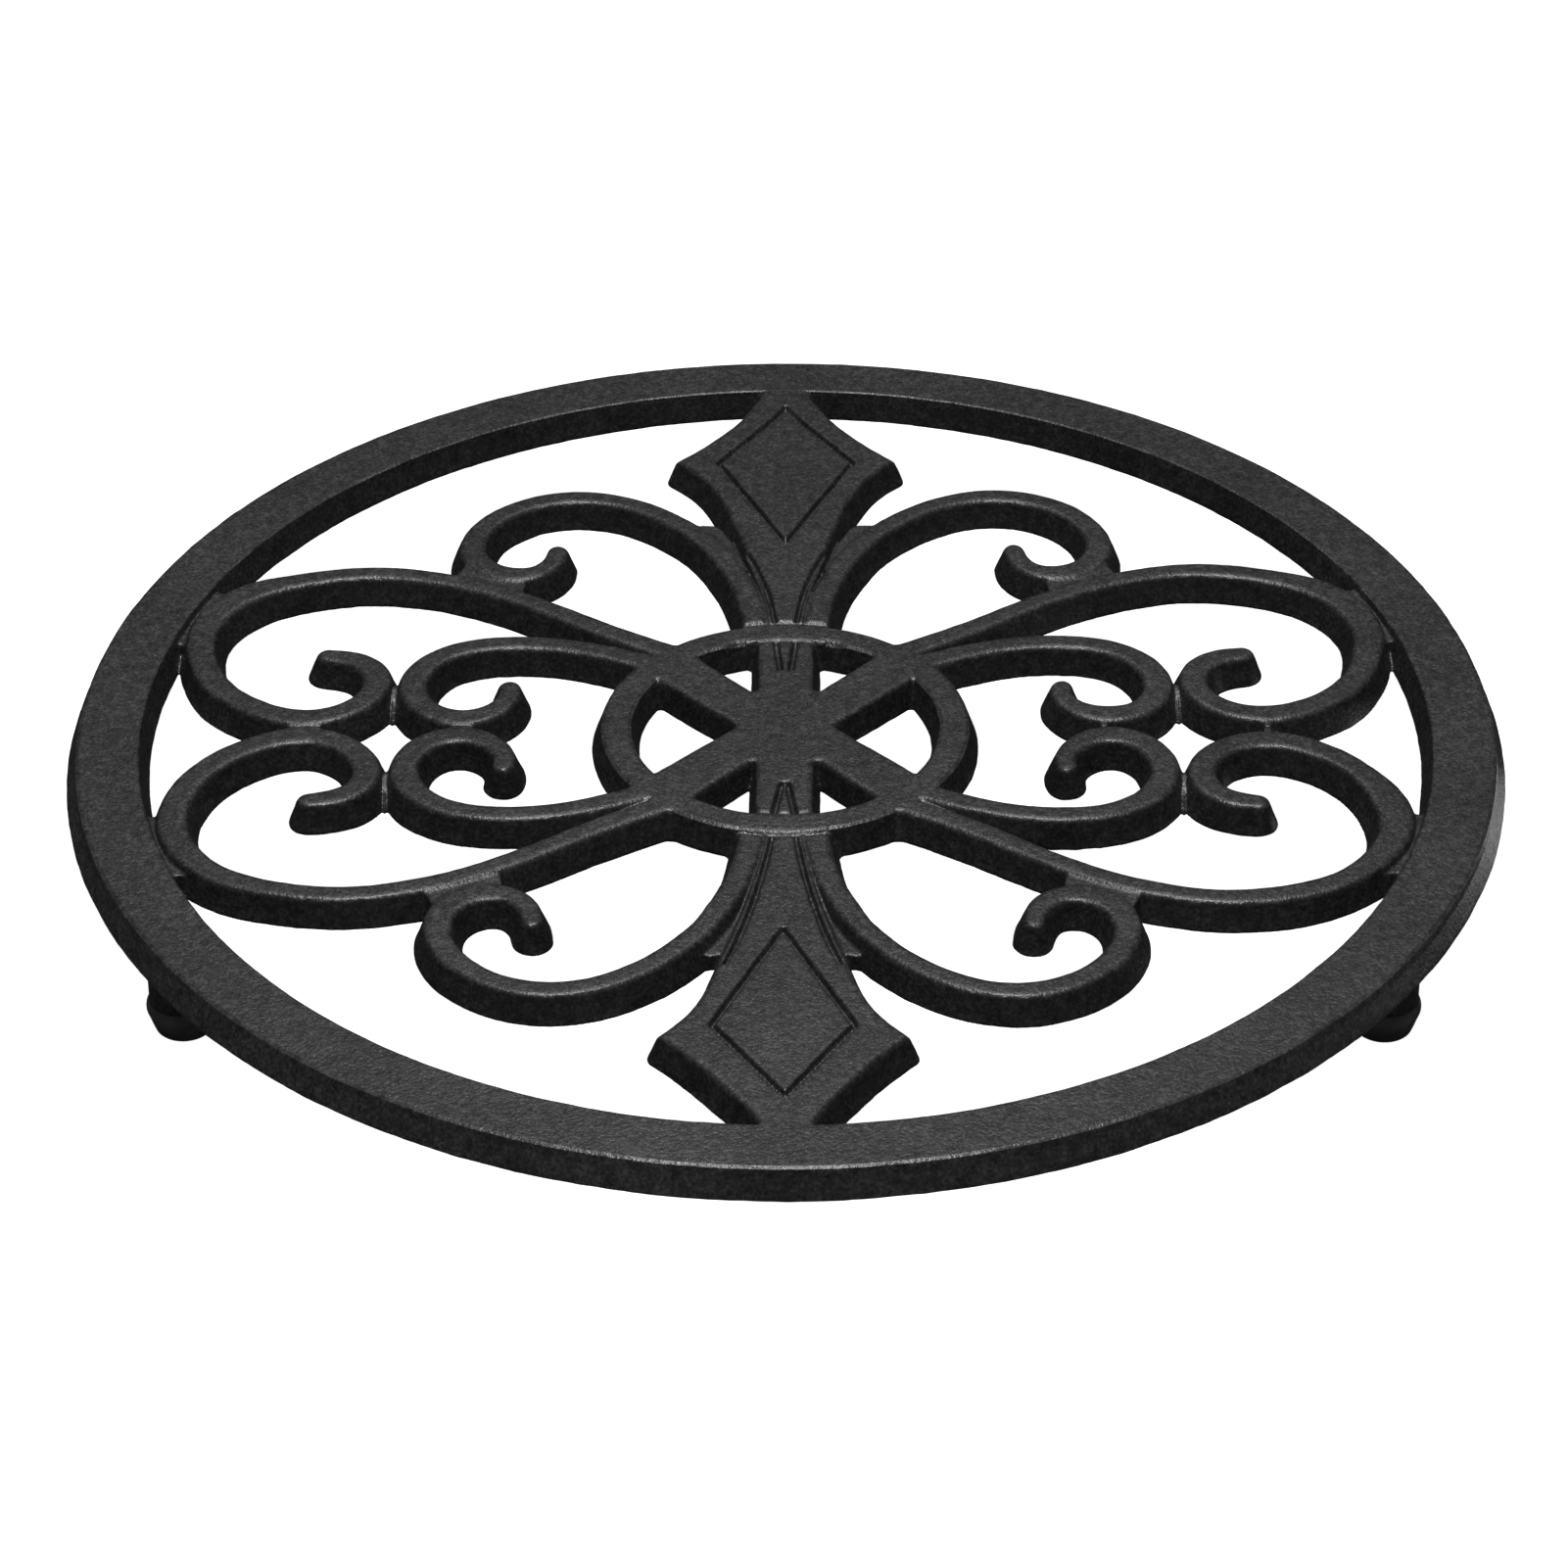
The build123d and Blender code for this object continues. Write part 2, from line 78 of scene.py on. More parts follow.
BORDER_REAR = [(1.6, 26.4), (2.0, 30.0), (2.8, 34.7), (3.8, 38.7), (4.8, 42.0), (5.6, 44.3)]
BORDER_FRONT = [(1.6, 26.4), (2.2, 31.0), (2.9, 35.5), (3.7, 40.0), (4.8, 45.0), (6.05, 50.0), (7.5, 54.4)]

LEG = [(0, 4.3), (4.2, 4.3), (4.42, 4.5), (4.45, 5.0), (4.44, 6.5), (4.43, 8.0), (4.41, 9.5), (4.4, 11.0), (4.43, 11.35),
       (4.52, 11.6), (4.6, 11.75), (4.4, 12.0), (0, 12.0)]
FOOT_CAP = [(0, 0), (1.5, 0), (3.2, 0), (3.5, 0.03), (3.74, 0.13), (3.9, 0.3), (3.98, 0.5), (4.18, 1.1), (4.4, 1.8),
            (4.6, 2.5), (4.75, 2.95), (4.85, 3.25), (4.9, 3.5), (4.9, 3.85), (4.86, 4.15), (4.77, 4.42), (4.64, 4.66),
            (4.5, 4.82), (4.36, 4.9), (4.2, 4.86), (2.0, 4.8), (0, 4.8)]
WEB_LARGE_RING = [(77.0, 33.9), (79.4, 31.0), (81.75, 26.5), (82.45, 21.5), (82.6, 20.6), (85.8, 21.3),
                  (89.0, 21.0), (88.2, 27.0), (85.2, 33.2), (83.6, 35.2), (81.4, 34.4), (79.0, 34.4)]
WEB_SIDE_LARGE = [(45.4, 43.4), (42.75, 40.6), (39.3, 39.05), (37.6, 39.1), (37.4, 36.4), (38.0, 33.2), (42.0, 34.8),
                  (46.4, 36.9), (47.4, 38.6)]
WEB_SIDE_SPEAR = [(1.5, 26.0), (1.5, 40.0), (4.0, 47.5), (7.0, 49.5), (9.6, 50.2), (12.0, 49.0), (9.0, 42.0), (6.5, 36.0),
                  (4.5, 26.0)]
WEB_SIDE_REAR = [(5.6, 40.5), (6.5, 43.5), (7.7, 47.5), (9.2, 51.0), (10.4, 52.2), (12.2, 52.2), (14.2, 51.2), (10.4, 46.05),
                 (7.9, 41.0)]
RIB_LARGE = {1: [(66.2, -0.9), (67.1, -0.9), (67.1, 2.6), (66.2, 2.6)],
             -1: [(63.9, -0.9), (68.6, -0.9), (68.6, 2.6), (63.9, 2.6)]}
RIB_INNER = {1: [(43.5, -0.9), (44.5, -0.9), (44.5, 2.4), (43.5, 2.4)],
             -1: [(43.0, -0.9), (46.4, -0.9), (46.4, 2.4), (43.0, 2.4)]}


# ---------------------------------------------------------------- solids as signed distances
def rmax(a, b, r):
    """Both solids' common part, with its edge rounded."""
    return np.minimum(np.maximum(a, b), -r) + np.sqrt(np.maximum(a + r, 0) ** 2 + np.maximum(b + r, 0) ** 2)


def rmin(a, b, r):
    """Two solids joined, with a hollow fillet between them."""
    return -rmax(-a, -b, r)


def spline(points, step):
    """Dense points of a smooth curve through the given points (natural cubic, by chord length)."""
    P = np.array(points, float)
    t = np.r_[0, np.cumsum(np.linalg.norm(np.diff(P[:, :2], axis=0), axis=1))]
    n, h = len(t), np.diff(t)
    A, B = np.eye(n), np.zeros_like(P)
    for i in range(1, n - 1):
        A[i, i - 1], A[i, i], A[i, i + 1] = h[i - 1], 2 * (h[i - 1] + h[i]), h[i]
        B[i] = 6 * ((P[i + 1] - P[i]) / h[i] - (P[i] - P[i - 1]) / h[i - 1])
    M = np.linalg.solve(A, B)
    u = np.linspace(0, t[-1], max(2, int(round(t[-1] / step)) + 1))
    k = np.clip(np.searchsorted(t, u, side="right") - 1, 0, n - 2)
    a, b = ((t[k + 1] - u) / h[k])[:, None], ((u - t[k]) / h[k])[:, None]
    hk = h[k][:, None]
    return a * P[k] + b * P[k + 1] + ((a ** 3 - a) * M[k] + (b ** 3 - b) * M[k + 1]) * hk ** 2 / 6


def bar_plan(points, x, y):
    """Plan distance to a bar's edge, on the grid x by y."""
    c = spline(points, 0.25)
    out = np.full((len(x), len(y)), 1e3)
    for i in range(0, len(x), 16):
        dx = x[i:i + 16, None, None] - c[None, None, :, 0]
        dy = y[None, :, None] - c[None, None, :, 1]
        out[i:i + 16] = (np.sqrt(dx * dx + dy * dy) - c[None, None, :, 2]).min(-1)
    return out


def outline_plan(outline, x, y):
    """Plan distance to a closed outline, negative inside."""
    P = np.array(outline, float)
    Q = np.roll(P, -1, axis=0)
    X, Y = np.meshgrid(x, y, indexing="ij")
    best, odd = np.full(X.shape, 1e9), np.zeros(X.shape, bool)
    for a, b in zip(P, Q):
        e = b - a
        wx, wy = X - a[0], Y - a[1]
        k = np.clip((wx * e[0] + wy * e[1]) / (e @ e), 0, 1)
        best = np.minimum(best, (wx - e[0] * k) ** 2 + (wy - e[1] * k) ** 2)
        if a[1] != b[1]:
            hit = ((a[1] > Y) != (b[1] > Y)) & (X < a[0] + (Y - a[1]) * e[0] / e[1])
            odd ^= hit
    return np.sqrt(best) * np.where(odd, -1, 1)


def line_plan(points, x, y):
    """Plan distance to an open line."""
    X, Y = np.meshgrid(x, y, indexing="ij")
    best = np.full(X.shape, 1e9)
    for a, b in zip(points, points[1:]):
        a, b = np.array(a, float), np.array(b, float)
        e = b - a
        wx, wy = X - a[0], Y - a[1]
        k = np.clip((wx * e[0] + wy * e[1]) / (e @ e), 0, 1)
        best = np.minimum(best, (wx - e[0] * k) ** 2 + (wy - e[1] * k) ** 2)
    return np.sqrt(best)


def rounded(outline, radii, steps=8):
    """A closed outline with its corners rounded, each in a number of steps."""
    P, out, n = np.array(outline, float), [], len(outline)
    for i in range(n):
        p, r = P[i], radii[i]
        u, v = P[i - 1] - p, P[(i + 1) % n] - p
        u, v = u / np.linalg.norm(u), v / np.linalg.norm(v)
        if r <= 0:
            out.append(tuple(p))
            continue
        half = math.acos(np.clip(u @ v, -1, 1)) / 2
        m = (u + v) / np.linalg.norm(u + v)
        c = p + m * r / math.sin(half)
        a0 = p + u * r / math.tan(half) - c
        a1 = p + v * r / math.tan(half) - c
        t0, t1 = math.atan2(a0[1], a0[0]), math.atan2(a1[1], a1[0])
        d = (t1 - t0 + math.pi) % (2 * math.pi) - math.pi
        out += [tuple(c + r * np.array([math.cos(t0 + d * k / steps), math.sin(t0 + d * k / steps)])) for k in range(steps + 1)]
    return out


def bevelled(plan, wall, z):
    """Walls and top of a member, with a worn slope and a small rounding between them."""
    slope = plan * math.sin(SLOPE) + (z - TOP) * math.cos(SLOPE) + BEVEL
    return rmax(rmax(wall, slope, EDGE), z - TOP, 0.5 * EDGE)


def member(plan, z, lean=LEAN):
    """Bar with drafted walls and worn edges above a plan outline."""
    plan = plan[:, :, None]
    wall = (plan - lean * (TOP - z)) / math.hypot(1, lean)
    return rmax(bevelled(plan, wall, z), DEEP - z, FOOT)


def web(outline, x, y, z, drop):
    """Low web between members, its top the given drop below theirs."""
    plan = outline_plan(outline, x, y)[:, :, None]
    return rmax(rmax(plan - 0.2 * (TOP - z), z - TOP + drop, 0.3), DEEP - z, FOOT)


def ring(size, x, y, z, under):
    """Drafted ring with worn edges."""
    out, out_lean, inner, in_lean = size
    r = np.hypot(x[:, None], y[None, :])[:, :, None]
    a = (r - out - out_lean * (TOP - z)) / math.hypot(1, out_lean)
    b = (inner - in_lean * (TOP - z) - r) / math.hypot(1, in_lean)
    return rmax(bevelled(np.maximum(r - out, inner - r), np.maximum(a, b), z), under - z, FOOT)


def ring_groove(solid, x, y, z, inside, bottom, outside, depth):
    """V-shaped groove along a circle."""
    r = np.hypot(x[:, None], y[None, :])[:, :, None]
    k1, k2 = depth / (outside - bottom), depth / (bottom - inside)
    g = np.maximum((TOP - depth + (r - bottom) * k1 - z) / np.hypot(1, k1),
                   (TOP - depth + (bottom - r) * k2 - z) / np.hypot(1, k2))
    return rmax(solid, -g, 0.12)


def engraved(solid, plan, z, half, depth):
    """Line cut in the top, with sloping sides and a narrow round bottom."""
    floor = 0.1 * half
    k = depth / (half - floor)
    sides = (TOP - depth + k * (plan[:, :, None] - floor) - z) / math.hypot(1, k)
    return rmax(solid, -np.maximum(sides, TOP - depth - z), 0.05)


def joined(solid, others, sink, z):
    """A piece with hollow fillets to its neighbours, reaching a little into them so that no gap shows."""
    parts = [solid]
    for other, fillet in others:
        blend = np.maximum(rmin(solid, other + 0.05, fillet), np.maximum(z - TOP, DEEP - z))
        parts.append(np.maximum(np.maximum(blend, -(other + 0.9)), solid - 1.2 * fillet))
    out = np.minimum.reduce(parts)
    for other, fillet in others:
        out = np.maximum(out, -(other + 0.9))
    return out + sink


# ---------------------------------------------------------------- surface of a solid
def sample(V, p):
    """Value and slope of a grid of distances at points given in grid steps."""
    i = np.clip(np.floor(p).astype(int), 0, np.array(V.shape) - 2)
    f = p - i
    c = [[[V[i[:, 0] + a, i[:, 1] + b, i[:, 2] + d] for d in (0, 1)] for b in (0, 1)] for a in (0, 1)]
    fx, fy, fz = f.T
    cz = [[c[a][b][0] * (1 - fz) + c[a][b][1] * fz for b in (0, 1)] for a in (0, 1)]
    dz = [[c[a][b][1] - c[a][b][0] for b in (0, 1)] for a in (0, 1)]
    cy = [cz[a][0] * (1 - fy) + cz[a][1] * fy for a in (0, 1)]
    gy = (cz[0][1] - cz[0][0]) * (1 - fx) + (cz[1][1] - cz[1][0]) * fx
    gz = (dz[0][0] * (1 - fy) + dz[0][1] * fy) * (1 - fx) + (dz[1][0] * (1 - fy) + dz[1][1] * fy) * fx
    return cy[0] * (1 - fx) + cy[1] * fx, np.c_[cy[1] - cy[0], gy, gz]


def unpinch(V):
    """Fill cells where two sheets would touch along an edge."""
    for again in range(30):
        changed = 0
        for a, b in ((0, 1), (0, 2), (1, 2)):
            W = np.moveaxis(V, (a, b), (0, 1))
            c00, c01, c10, c11 = W[:-1, :-1], W[:-1, 1:], W[1:, :-1], W[1:, 1:]
            for inn, out in (((c00, c11), (c01, c10)), ((c01, c10), (c00, c11))):
                hit = (inn[0] < 0) & (inn[1] < 0) & (out[0] >= 0) & (out[1] >= 0)
                first = hit & (out[0] <= out[1])
                out[0][first] = -0.02
                out[1][hit & ~first] = -0.02
                changed += int(hit.sum())
        if not changed:
            return


def surface(V, origin, step):
    """Closed quad mesh of the zero surface, with evenly spread points that lie on it."""
    V = V.copy()
    for side in (V[0], V[-1], V[:, 0], V[:, -1], V[:, :, 0], V[:, :, -1]):
        np.maximum(side, 0.3 * step, out=side)
    V /= step
    unpinch(V)
    inside = V < 0
    n = [s - 1 for s in V.shape]
    corner = lambda A, a, b, c: A[a:a + n[0], b:b + n[1], c:c + n[2]]
    count = sum(corner(inside, a, b, c).astype(np.int8) for a in (0, 1) for b in (0, 1) for c in (0, 1))
    active = (count > 0) & (count < 8)
    index = np.full(active.shape, -1, np.int64)
    index[active] = np.arange(active.sum())
    base = np.argwhere(active).astype(float)
    total, hits = np.zeros_like(base), np.zeros(len(base))
    for axis in range(3):
        for u in (0, 1):
            for w in (0, 1):
                o = [u, w]
                o.insert(axis, 0)
                e = list(o)
                e[axis] = 1
                v0, v1 = corner(V, *o)[active], corner(V, *e)[active]
                m = (v0 < 0) != (v1 < 0)
                pt = base[m] + np.array(o, float)
                pt[:, axis] += v0[m] / (v0[m] - v1[m])
                total[m] += pt
                hits[m] += 1
    p = total / hits[:, None]
    quads = []
    for axis in range(3):
        lo = [slice(None)] * 3
        hi = [slice(None)] * 3
        lo[axis], hi[axis] = slice(0, -1), slice(1, None)
        change = inside[tuple(lo)] != inside[tuple(hi)]
        at = np.argwhere(change)
        b, c = [k for k in range(3) if k != axis]
        ok = (at[:, b] > 0) & (at[:, c] > 0) & (at[:, b] < V.shape[b] - 1) & (at[:, c] < V.shape[c] - 1)
        at = at[ok]
        def cell(db, dc):
            q = at.copy()
            q[:, b] -= db
            q[:, c] -= dc
            return index[q[:, 0], q[:, 1], q[:, 2]]
        quad = np.c_[cell(1, 1), cell(0, 1), cell(0, 0), cell(1, 0)]
        flip = inside[tuple(lo)][change][ok]
        if axis == 1:
            flip = ~flip
        quad[~flip] = quad[~flip][:, ::-1]
        quads.append(quad)
    quads = np.vstack(quads)
    edges = np.vstack([quads[:, [k, (k + 1) % 4]] for k in range(4)])
    degree = np.bincount(edges.ravel(), minlength=len(p))
    for turn in range(8):
        mean = np.stack([np.bincount(edges[:, 0], p[edges[:, 1], k], len(p))
                         + np.bincount(edges[:, 1], p[edges[:, 0], k], len(p)) for k in range(3)], 1) / degree[:, None]
        value, slope = sample(V, p)
        size = np.maximum((slope ** 2).sum(1), 1e-9)
        move = (mean - p) * 0.5
        move -= slope * ((move * slope).sum(1) / size)[:, None]
        p = p + move * (turn < 5)
        value, slope = sample(V, p)
        size = np.maximum((slope ** 2).sum(1), 0.25)
        p = p - slope * np.clip(value / size, -0.3, 0.3)[:, None]
    return p * step + np.array(origin), quads


def grid(x0, x1, y0, y1, step):
    x = np.arange(x0, x1 + step, step)
    y = np.arange(y0, y1 + step, step)
    z = np.arange(DEEP - 0.55, TOP + 0.5 + step, step) + 0.013
    return x, y, z


def mirrored(mesh, fx, fy):
    p, q = mesh
    p = p * np.array([fx, fy, 1.0])
    return p, (q if fx * fy > 0 else q[:, ::-1])


def raised(points, by):
    return [(a, b + by.get((a, b), 0), w) for a, b, w in points]


# ---------------------------------------------------------------- the members, in the rear right quarter
def spear_outline(flank, step=0.4):
    a, b = spline(flank, step), spline(BACK, step)
    right = np.vstack([a, b[1:]])
    return np.vstack([right, (right * [-1, 1])[::-1]])


def make_large(step, side):
    x, y, z = grid(12.0, 87.5, -0.9, 43.5, step)
    own = member(bar_plan(raised(LARGE, LARGE_RAISE) if side > 0 else LARGE, x, y), z)
    low = np.minimum(web(WEB_LARGE_RING, x, y, z, 1.1), web(RIB_LARGE[side], x, y, z, 0.3))
    own = np.maximum(rmin(own, low, 0.25), np.maximum(z - TOP, DEEP - z))
    own = np.maximum(own, -y[None, :, None] + 0.0 * z)
    V = joined(own, [(ring(RING, x, y, z, UNDER), 0.4), (ring(HUB, x, y, z, DEEP), FILLET)], 0.012, z)
    r = np.hypot(x[:, None], y[None, :])[:, :, None]
    V = np.maximum(V, np.minimum(r - 88.2, UNDER + 0.3 - z))
    V = np.maximum(V, -y[None, :, None] + 0.0 * z)
    return surface(V, (x[0], y[0], z[0]), step)


def make_inner(step, side, end):
    x, y, z = grid(13.0, 58.5, -0.9, 27.0, step)
    own = member(bar_plan(raised(INNER, INNER_RAISE) if side > 0 and end > 0 else INNER, x, y), z)
    large = member(bar_plan(raised(LARGE, LARGE_RAISE) if side > 0 else LARGE, x, y), z)
    # ramp of metal in the valley beside the large curl, falling towards the front
    along = (10.6 - y) * end
    across = np.maximum(np.abs(x - 54.45)[:, None] - 0.28, np.maximum(-along - 0.3, along - 11.0)[None, :])
    ramp = rmax(across[:, :, None] - 0.08 * (TOP - z), (z - TOP + 0.7 + 0.37 * along[None, :, None]) / 1.066, 0.25)
    ramp = np.maximum(np.maximum(ramp, np.maximum(own, large) - 0.45), DEEP - z)
    own = rmin(own, web(RIB_INNER[side], x, y, z, 0.3), 0.25)
    own = np.maximum(rmin(own, ramp, 0.2), np.maximum(z - TOP, DEEP - z))
    own = np.maximum(own, -y[None, :, None] + 0.0 * z)
    V = joined(own, [(ring(HUB, x, y, z, DEEP), FILLET), (large, CREASE)], 0.02, z)
    V = np.maximum(V, -y[None, :, None] + 0.0 * z)
    return surface(V, (x[0], y[0], z[0]), step)


def make_side(step, flank, wear):
    x, y, z = grid(0.0, 49.0, 20.5, 64.0, step)
    own = member(bar_plan(SIDE, x, y), z)
    own = rmin(own, web(WEB_SIDE_LARGE, x, y, z, 0.4), 0.4)
    own = rmin(own, web(WEB_SIDE_SPEAR, x, y, z, 1.9), 0.3)
    if wear < 1:
        own = rmin(own, web(WEB_SIDE_REAR, x, y, z, 0.3), 0.3)
    own = np.maximum(own, np.maximum(z - TOP, DEEP - z))
    own = ring_groove(own, x, y, z, HUB[0] - wear, HUB[0] + 0.35, HUB[0] + 1.05, 0.5 + 0.28 * wear)
    spear = member(outline_plan(spear_outline(flank), x, y), z)
    large = member(bar_plan(LARGE, x, y), z)
    V = joined(own, [(ring(HUB, x, y, z, DEEP), FILLET), (spear, CREASE), (large, CREASE)], 0.02, z)
    return surface(V, (x[0], y[0], z[0]), step)


def make_spear(step, flank, diamond, border, wear):
    x, y, z = grid(-20.0, 20.0, 21.0, 92.5, step)
    own = member(outline_plan(spear_outline(flank), x, y), z)
    own = engraved(own, line_plan(diamond + diamond[:1], x, y), z, 0.5, 0.85)
    for fx in (1, -1):
        own = engraved(own, line_plan([(fx * a, b) for a, b in border], x, y), z, 0.5, 0.85)
    own = ring_groove(own, x, y, z, HUB[0] - wear, HUB[0] + 0.35, HUB[0] + 1.05, 0.5 + 0.28 * wear)
    V = joined(own, [(ring(RING, x, y, z, UNDER), FILLET), (ring(HUB, x, y, z, DEEP), FILLET)], 0.012, z)
    r = np.hypot(x[:, None], y[None, :])[:, :, None]
    V = np.maximum(V, np.minimum(r - 88.2, UNDER + 0.3 - z))
    return surface(V, (x[0], y[0], z[0]), step)


def make_cross(step):
    x, y, z = grid(-25.0, 25.0, -25.0, 25.0, step)
    plan = np.hypot(x[:, None], y[None, :]) - 22.6
    for fx in (1, -1):
        side = [(fx * 6.5, 0), (fx * 19.2, 13.0), (fx * 26.0, 13.0), (fx * 26.0, -13.0), (fx * 19.2, -13.0)]
        plan = np.maximum(plan, -outline_plan(rounded(side, (0.6, 0, 0, 0, 0)), x, y))
        for fy in (1, -1):
            small = [(fx * 3.8, fy * 7.5), (fx * 14.6, fy * 19.5), (fx * 14.6, fy * 26.0), (fx * 3.8, fy * 26.0)]
            plan = np.maximum(plan, -outline_plan(rounded(small, (0.7, 0, 0, 0)), x, y))
    own = member(plan, z, 0.28)
    for fy, foot in ((1, 0.75), (-1, 0.4)):
        for fx in (1, -1):
            own = engraved(own, line_plan([(fx * foot, fy * 14.0), (fx * 1.4, fy * 20.9)], x, y), z, 0.52, 1.0)
    front = ring_groove(own, x, y, z, HUB[2] - 0.6, HUB[2] - 0.1, HUB[2] + 0.5, 0.45)
    rear = ring_groove(own, x, y, z, HUB[2] - 0.6, HUB[2] - 0.1, HUB[2] + 0.9, 0.55)
    stem = np.where((y > 0)[None, :, None], rear, front)
    own = np.where((np.abs(x) < 5.2)[:, None, None], stem, own)
    V = joined(own, [(ring(HUB, x, y, z, DEEP), FILLET)], 0.012, z)
    V = np.maximum(V, np.hypot(x[:, None], y[None, :])[:, :, None] - 23.0)
    return surface(V, (x[0], y[0], z[0]), step)


def lathe(profile, turns):
    """Closed profile (r, z) turned about the z axis."""
    P = np.array(profile, float)
    t = np.linspace(0, 2 * math.pi, turns, endpoint=False)
    n = len(P)
    p = np.stack([P[:, None, 0] * np.cos(t), P[:, None, 0] * np.sin(t),
                  np.repeat(P[:, 1:2], turns, 1)], -1).reshape(-1, 3)
    quads = []
    k = np.arange(turns)
    for i in range(n):
        j = (i + 1) % n
        quads.append(np.c_[i * turns + k, i * turns + (k + 1) % turns, j * turns + (k + 1) % turns, j * turns + k])
    return p, np.vstack(quads)


def worn_hub(mesh):
    """Hub ring with its edge worn to a slope where the front spear meets it and above the rear stem."""
    p, q = mesh
    p = p.copy()
    r = np.hypot(p[:, 0], p[:, 1])
    ease = lambda u: np.clip(u, 0, 1) ** 2 * (3 - 2 * np.clip(u, 0, 1))
    front = ease((6.2 - np.abs(p[:, 0])) / 1.2) * (p[:, 1] < 0)
    rear = ease((9.0 - np.abs(p[:, 0])) / 2.0) * (p[:, 1] > 0)
    high = np.clip((p[:, 2] - TOP + 1.7) / 1.7, 0, 1)
    p[:, 2] -= high * 0.5 * (front * np.maximum(r - HUB[0] + 1.5, 0) + rear * np.maximum(HUB[2] + 0.9 - r, 0))
    return p, q


def turned(profile, turns, centre):
    """Open profile (r, z) from the bottom of a vertical axis to its top, turned about it: points and faces."""
    P = np.array(profile, float)
    t = np.linspace(0, 2 * math.pi, turns, endpoint=False)
    p = [(centre[0], centre[1], P[0, 1])]
    for r, z in P[1:-1]:
        p += [(centre[0] + r * math.cos(a), centre[1] + r * math.sin(a), z) for a in t]
    p.append((centre[0], centre[1], P[-1, 1]))
    faces, last, n = [], len(p) - 1, len(P) - 2
    for k in range(turns):
        m = (k + 1) % turns
        faces.append((0, 1 + m, 1 + k))
        for i in range(n - 1):
            a, b = 1 + i * turns, 1 + (i + 1) * turns
            faces.append((a + k, a + m, b + m, b + k))
        a = 1 + (n - 1) * turns
        faces.append((a + k, a + m, last))
    return np.array(p), faces


def ring_profile(size, under, step, knee, inner_bevel):
    """Section of a ring, anticlockwise in (r, z), with worn edges and even steps. The outer wall is
    steeper above its knee (depth, lean)."""
    out, out_lean, inner, in_lean = size
    h = TOP - under
    fall = lambda bevel, lean: bevel / (math.cos(SLOPE) - lean * math.sin(SLOPE))
    a, b = fall(BEVEL, knee[1]), fall(inner_bevel, in_lean)
    corners = [(inner - in_lean * h, under), (out + out_lean * h, under), (out + knee[1] * knee[0], TOP - knee[0]),
               (out + knee[1] * a, TOP - a), (out - BEVEL / math.sin(SLOPE), TOP),
               (inner + inner_bevel / math.sin(SLOPE), TOP), (inner - in_lean * b, TOP - b)]
    return even(rounded(corners, (FOOT, FOOT, 1.0, 0.2, 0.5 * EDGE, 0.12, 0.15), 4), step)


def even(outline, step):
    """The same closed outline with no side longer than the step."""
    out, n = [], len(outline)
    for i in range(n):
        a, b = np.array(outline[i]), np.array(outline[(i + 1) % n])
        m = int(math.ceil(np.linalg.norm(b - a) / step - 1e-4))
        out += [tuple(a + (b - a) * k / m) for k in range(m)]
    return out


# ---------------------------------------------------------------- unevenness of the sand casting
def lattice(p, size, seed):
    """Smooth random values, about -1 to 1, that change over the given size in millimetres."""
    table = np.random.RandomState(seed).uniform(-1, 1, 65536)
    q = p / size
    i = np.floor(q).astype(np.int64)
    f = q - i
    f = f * f * f * (f * (f * 6 - 15) + 10)
    out = np.zeros(len(p))
    for a in (0, 1):
        for b in (0, 1):
            for c in (0, 1):
                h = ((i[:, 0] + a) * 73856093) ^ ((i[:, 1] + b) * 19349663) ^ ((i[:, 2] + c) * 83492791)
                w = (f[:, 0] if a else 1 - f[:, 0]) * (f[:, 1] if b else 1 - f[:, 1]) * (f[:, 2] if c else 1 - f[:, 2])
                out += w * table[h & 65535]
    return out


def normals(p, q):
    d = np.cross(p[q[:, 2]] - p[q[:, 0]], p[q[:, 3]] - p[q[:, 1]])
    n = np.stack([sum(np.bincount(q[:, k], d[:, a], len(p)) for k in range(4)) for a in range(3)], 1)
    return n / np.maximum(np.linalg.norm(n, axis=1), 1e-12)[:, None]


# Drift of the scrollwork inside the ring, in millimetres: factors of x^i y^j for i + j up to 4, x and y over 80.
DRIFT_X = [-0.06, 0.51, -0.56, -0.35, 0.58, 0.08, 0.42, -0.08, 0.06, 0.13, 0.3, -0.3, -0.04, 0.27, -0.44]
DRIFT_Y = [-1.04, -0.05, -0.23, 0.17, 0.11, -0.25, 0.71, 0.2, -0.57, 0.53, 0.1, 0.31, -0.13, 0.8, -0.79]


def drifted(p):
    """Points of the scrollwork where the casting has drawn them; the outer ring holds still."""
    x, y = p[:, 0] / 80, p[:, 1] / 80
    terms = [x ** i * y ** j for i in range(5) for j in range(5 - i)]
    u = np.clip((np.hypot(p[:, 0], p[:, 1]) - 80) / 9, 0, 1)
    hold = 1 - u * u * (3 - 2 * u)
    p = p.copy()
    p[:, 0] += hold * sum(c * t for c, t in zip(DRIFT_X, terms))
    p[:, 1] += hold * sum(c * t for c, t in zip(DRIFT_Y, terms))
    return p


def cast(mesh):
    """The mesh with the slight waves and lumps of a sand casting; its ground top stays nearly flat."""
    p, q = mesh
    p = drifted(p)
    n = normals(p, q)
    wall = 1 - 0.75 * np.clip(n[:, 2] * 3 - 2, 0, 1)
    d = 0.055 * lattice(p, 4.6, 11) + 0.035 * lattice(p, 1.7, 12) + 0.02 * lattice(p, 0.8, 13)
    return p + n * (d * wall)[:, None], q


